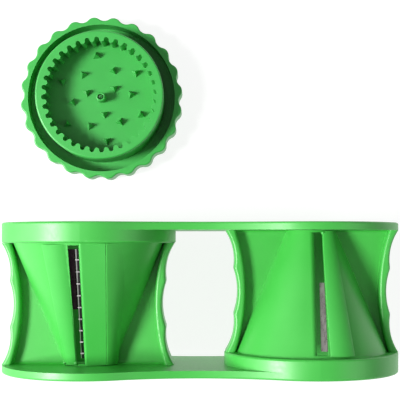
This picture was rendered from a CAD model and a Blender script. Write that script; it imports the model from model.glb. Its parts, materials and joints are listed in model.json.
import json
import math

import bpy
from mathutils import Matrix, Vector


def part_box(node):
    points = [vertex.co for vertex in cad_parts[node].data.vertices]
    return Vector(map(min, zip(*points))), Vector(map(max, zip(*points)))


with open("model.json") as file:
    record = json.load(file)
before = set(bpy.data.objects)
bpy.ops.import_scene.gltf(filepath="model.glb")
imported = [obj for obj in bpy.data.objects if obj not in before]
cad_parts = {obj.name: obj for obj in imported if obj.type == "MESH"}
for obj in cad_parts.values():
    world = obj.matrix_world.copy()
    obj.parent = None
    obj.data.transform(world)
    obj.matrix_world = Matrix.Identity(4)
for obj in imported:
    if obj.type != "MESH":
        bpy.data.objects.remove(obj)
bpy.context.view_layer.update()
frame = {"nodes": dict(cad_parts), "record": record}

MM = 0.001

# ---- places, all from the frame -------------------------------------------------
UPPER_LOW, UPPER_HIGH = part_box("upper_plate")
LOWER_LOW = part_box("lower_plate")[0]
BODY_Y = (UPPER_HIGH.y + LOWER_LOW.y) / 2
AXIS_Z = (UPPER_LOW.z + UPPER_HIGH.z) / 2


# ---- camera and light -----------------------------------------------------------
CAMERA_UP = 415 * MM          # above the plane of the cone axes
CAMERA_Y = 21.1 * MM          # from the body's mid-plane
LENS = 93.375
SENSOR = 36
SHIFT_Y = 0.11
ROOM_LEFT = 0.55              # brightness of the room on the key lamp's side
ROOM_RIGHT = 0.02             # and opposite it
FLOOR_HALF = 9.0              # metres; wide enough to fill low views
FLOOR_TONES = ((0.20, 0.20, 0.20, 1), (0.22, 0.22, 0.22, 1))
FLOOR_GLOW = 0.87             # the paper shines by itself, like a lit sweep
LAMP_TARGET = Vector((0, BODY_Y + 40 * MM, AXIS_Z))
LAMPS = (                     # name, azimuth, degrees off the vertical, metres away, size, watts
    ("key", 190, 45, 0.85, (0.21, 0.21), 10.2),
    ("fill", 345, 55, 0.90, (0.50, 0.50), 1.5),
    ("side", 180, 78, 0.80, (0.35, 0.60), 2.2),
)
RANGE_SOCKETS = ("From Min", "From Max", "To Min", "To Max")


def make_camera():
    data = bpy.data.cameras.new("camera")
    data.lens = LENS
    data.sensor_width = SENSOR
    data.shift_y = SHIFT_Y
    data.clip_start = 10 * MM
    camera = bpy.data.objects.new("camera", data)
    camera.location = (0, BODY_Y + CAMERA_Y, AXIS_Z + CAMERA_UP)
    bpy.context.scene.collection.objects.link(camera)
    bpy.context.scene.camera = camera


def soft_box(name, azimuth, off_axis, distance, size, power):
    """Rectangular lamp that looks at the middle of the object."""
    a = math.radians(azimuth)
    t = math.radians(off_axis)
    flat = math.sin(t)
    toward = Vector((flat * math.cos(a), flat * math.sin(a), math.cos(t)))
    data = bpy.data.lights.new(name, "AREA")
    data.shape = "RECTANGLE"
    data.size, data.size_y = size
    data.energy = power
    lamp = bpy.data.objects.new(name, data)
    lamp.location = LAMP_TARGET + toward * distance
    lamp.rotation_euler = toward.to_track_quat("Z", "Y").to_euler()
    bpy.context.scene.collection.objects.link(lamp)


def set_range(node, numbers):
    """Give a Map Range node its four limits."""
    for key, number in zip(RANGE_SOCKETS, numbers):
        node.inputs[key].default_value = number


def make_light():
    world = bpy.data.worlds.new("studio")
    world.use_nodes = True
    tree = world.node_tree
    direction = tree.nodes.new("ShaderNodeTexCoord").outputs["Generated"]
    split = tree.nodes.new("ShaderNodeSeparateXYZ")
    fade = tree.nodes.new("ShaderNodeMapRange")
    set_range(fade, (-1.0, 1.0, ROOM_LEFT, ROOM_RIGHT))
    tree.links.new(direction, split.inputs[0])
    tree.links.new(split.outputs["X"], fade.inputs["Value"])
    background = tree.nodes["Background"]
    tree.links.new(fade.outputs["Result"], background.inputs["Strength"])
    background.inputs["Color"].default_value = (1, 1, 1, 1)
    bpy.context.scene.world = world
    for lamp in LAMPS:
        soft_box(*lamp)
    bpy.context.scene.view_settings.view_transform = "Standard"


def make_floor():
    mesh = bpy.data.meshes.new("floor")
    h = FLOOR_HALF
    corners = [(-h, -h, 0), (h, -h, 0), (h, h, 0), (-h, h, 0)]
    mesh.from_pydata(corners, [], [(0, 1, 2, 3)])
    floor = bpy.data.objects.new("floor", mesh)
    bpy.context.scene.collection.objects.link(floor)
    floor.data.materials.append(floor_material())


# ---- material helpers -------------------------------------------------------------
class Nodes:
    """Small helper that adds nodes to a material and wires them."""

    def __init__(self, name):
        self.material = bpy.data.materials.new(name)
        self.material.use_nodes = True
        self.tree = self.material.node_tree
        self.shader = self.tree.nodes["Principled BSDF"]

    def add(self, kind, **settings):
        node = self.tree.nodes.new(kind)
        for key, value in settings.items():
            setattr(node, key, value)
        return node

    def link(self, a, b):
        self.tree.links.new(a, b)

    def place(self):
        """Place of the shaded point, as separate X, Y and Z."""
        split = self.add("ShaderNodeSeparateXYZ")
        self.link(self.add("ShaderNodeNewGeometry").outputs["Position"], split.inputs[0])
        return split.outputs

    def noise(self, scale, detail=2.0, rough=0.5, stretch=None):
        """Noise over the piece's own place, with features about 1 / scale metres wide."""
        node = self.add("ShaderNodeTexNoise")
        node.inputs["Scale"].default_value = scale
        node.inputs["Detail"].default_value = detail
        node.inputs["Roughness"].default_value = rough
        coords = self.add("ShaderNodeTexCoord").outputs["Object"]
        if stretch:
            mapping = self.add("ShaderNodeMapping")
            mapping.inputs["Scale"].default_value = stretch
            self.link(coords, mapping.inputs["Vector"])
            coords = mapping.outputs["Vector"]
        self.link(coords, node.inputs["Vector"])
        return node.outputs["Fac"]

    def ramp(self, value, low, high, low_out, high_out):
        node = self.add("ShaderNodeMapRange")
        set_range(node, (low, high, low_out, high_out))
        self.link(value, node.inputs["Value"])
        return node.outputs["Result"]

    def mix(self, factor, a, b):
        node = self.add("ShaderNodeMix", data_type="RGBA")
        self.link(factor, node.inputs[0])
        for socket, value in ((node.inputs[6], a), (node.inputs[7], b)):
            if isinstance(value, tuple):
                socket.default_value = value
            else:
                self.link(value, socket)
        return node.outputs[2]

    def math(self, operation, a, b):
        node = self.add("ShaderNodeMath", operation=operation)
        for socket, value in zip(node.inputs, (a, b)):
            if isinstance(value, (int, float)):
                socket.default_value = value
            else:
                self.link(value, socket)
        return node.outputs[0]

    def edges(self, width):
        """1 on edges and corners narrower than the given width, 0 on open surfaces."""
        rounded = self.add("ShaderNodeBevel", samples=6)
        rounded.inputs["Radius"].default_value = width
        facing = self.add("ShaderNodeVectorMath", operation="DOT_PRODUCT")
        self.link(rounded.outputs["Normal"], facing.inputs[0])
        self.link(self.add("ShaderNodeNewGeometry").outputs["Normal"], facing.inputs[1])
        return self.ramp(facing.outputs["Value"], 0.97, 0.80, 0.0, 1.0)

    def bump(self, height, strength, distance, below=None):
        node = self.add("ShaderNodeBump")
        node.inputs["Strength"].default_value = strength
        node.inputs["Distance"].default_value = distance
        self.link(height, node.inputs["Height"])
        if below:
            self.link(below, node.inputs["Normal"])
        return node.outputs["Normal"]


def floor_material():
    n = Nodes("floor_paper")
    tone = n.ramp(n.noise(6, 3), 0.3, 0.7, 0.0, 1.0)
    n.link(n.mix(tone, *FLOOR_TONES), n.shader.inputs["Base Color"])
    n.shader.inputs["Roughness"].default_value = 0.9
    n.shader.inputs["Specular IOR Level"].default_value = 0.1
    n.shader.inputs["Emission Color"].default_value = (1, 1, 1, 1)
    n.shader.inputs["Emission Strength"].default_value = FLOOR_GLOW
    return n.material


# ---- materials --------------------------------------------------------------------
SATIN = 0.44                  # roughness of the moulded plastic
GROUND = 0.30                 # roughness of ground steel
WEAR_WIDTH = 0.5 * MM         # edges narrower than this are rubbed a little lighter
BLADE_T = 0.5 * MM            # thickness of the comb blade
ALONG_Y = (1, 0.06, 1)        # grinding lines run along the blade
ALONG_Z = (1, 1, 0.2)
BODY_GREEN = ((0.046, 0.43, 0.052, 1), (0.056, 0.46, 0.062, 1))
COVER_GREEN = ((0.048, 0.43, 0.056, 1), (0.058, 0.46, 0.066, 1))
CAP_GREEN = ((0.028, 0.36, 0.048, 1), (0.036, 0.39, 0.058, 1))
BLADE_GREY = ((0.30, 0.285, 0.27, 1), (0.46, 0.44, 0.42, 1))
DARK_GREY = ((0.035, 0.022, 0.030, 1), (0.06, 0.04, 0.05, 1))
SMALL_GREY = ((0.45, 0.45, 0.46, 1), (0.65, 0.65, 0.66, 1))
COMB_DARK = ((0.05, 0.05, 0.05, 1), (0.09, 0.085, 0.09, 1))
COMB_BRIGHT = (0.78, 0.78, 0.76, 1)


def plastic(name, base, light):
    """Moulded satin plastic: slow colour drift, fine flow texture and slightly rubbed edges."""
    n = Nodes(name)
    n.shader.inputs["Specular IOR Level"].default_value = 0.65
    n.shader.inputs["Coat Weight"].default_value = 0.12
    n.shader.inputs["Coat Roughness"].default_value = 0.32
    drift = n.ramp(n.noise(45, 3), 0.35, 0.65, 0.0, 1.0)
    colour = n.mix(drift, base, light)
    patches = n.ramp(n.noise(600, 2), 0.35, 0.65, 0.1, 0.8)
    worn = n.math("MULTIPLY", n.edges(WEAR_WIDTH), patches)
    rubbed = tuple(min(1.0, c * 1.25 + 0.03) for c in light[:3]) + (1,)
    n.link(n.mix(worn, colour, rubbed), n.shader.inputs["Base Color"])
    fine = n.noise(900, 3, 0.6)
    rough = n.ramp(fine, 0.3, 0.7, SATIN - 0.04, SATIN + 0.05)
    n.link(n.math("ADD", rough, n.math("MULTIPLY", worn, 0.15)), n.shader.inputs["Roughness"])
    skin = n.bump(fine, 0.05, 0.05 * MM)
    n.link(n.bump(n.noise(160, 2), 0.12, 0.10 * MM, skin), n.shader.inputs["Normal"])
    return n.material


def steel(name, base, light, stretch):
    """Ground steel: fine grinding lines along one direction."""
    n = Nodes(name)
    lines = n.noise(900, 3, 0.6, stretch)
    n.link(n.mix(lines, base, light), n.shader.inputs["Base Color"])
    n.shader.inputs["Metallic"].default_value = 1.0
    rough = n.ramp(lines, 0.3, 0.7, GROUND - 0.08, GROUND + 0.08)
    n.link(rough, n.shader.inputs["Roughness"])
    n.link(n.bump(lines, 0.15, 0.02 * MM), n.shader.inputs["Normal"])
    return n.material


def comb_steel(name):
    """Blade that is dark in its slot, with bright upright teeth and a bright ground edge."""
    low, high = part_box("left_julienne_blade")
    slope = (high.z - low.z - BLADE_T) / (high.y - low.y)
    top_at_origin = low.z + BLADE_T - slope * low.y
    n = Nodes(name)
    x, y, z = n.place()
    level = n.math("SUBTRACT", z, n.math("MULTIPLY", y, slope))
    rise = n.math("SUBTRACT", level, top_at_origin)
    tooth = n.ramp(rise, 0.15 * MM, 0.35 * MM, 0.0, 1.0)
    ground = n.ramp(x, low.x + 0.35 * MM, low.x + 0.60 * MM, 1.0, 0.0)
    bright = n.math("MAXIMUM", tooth, ground)
    lines = n.noise(900, 3, 0.6, ALONG_Y)
    dark = n.mix(lines, *COMB_DARK)
    n.link(n.mix(bright, dark, COMB_BRIGHT), n.shader.inputs["Base Color"])
    n.shader.inputs["Metallic"].default_value = 1.0
    n.link(n.ramp(lines, 0.3, 0.7, 0.26, 0.40), n.shader.inputs["Roughness"])
    n.link(n.bump(lines, 0.15, 0.02 * MM), n.shader.inputs["Normal"])
    return n.material


def dress(node, material):
    slots = frame["nodes"][node].data.materials
    slots.clear()
    slots.append(material)


def make_materials():
    groups = {"body_green": plastic("body_plastic", *BODY_GREEN),
              "cover_green": plastic("cover_plastic", *COVER_GREEN),
              "cap_green": plastic("cap_plastic", *CAP_GREEN),
              "blade_steel": steel("blade_steel", *BLADE_GREY, ALONG_Y),
              "small_steel": steel("small_steel", *SMALL_GREY, ALONG_Z)}
    for part in frame["record"]["subparts"]:
        dress(part["node"], groups[part["material_slot"]])
    dress("left_slicing_blade", steel("dark_blade_steel", *DARK_GREY, ALONG_Y))
    dress("left_julienne_blade", comb_steel("comb_steel"))


make_camera()
make_light()
make_floor()
make_materials()
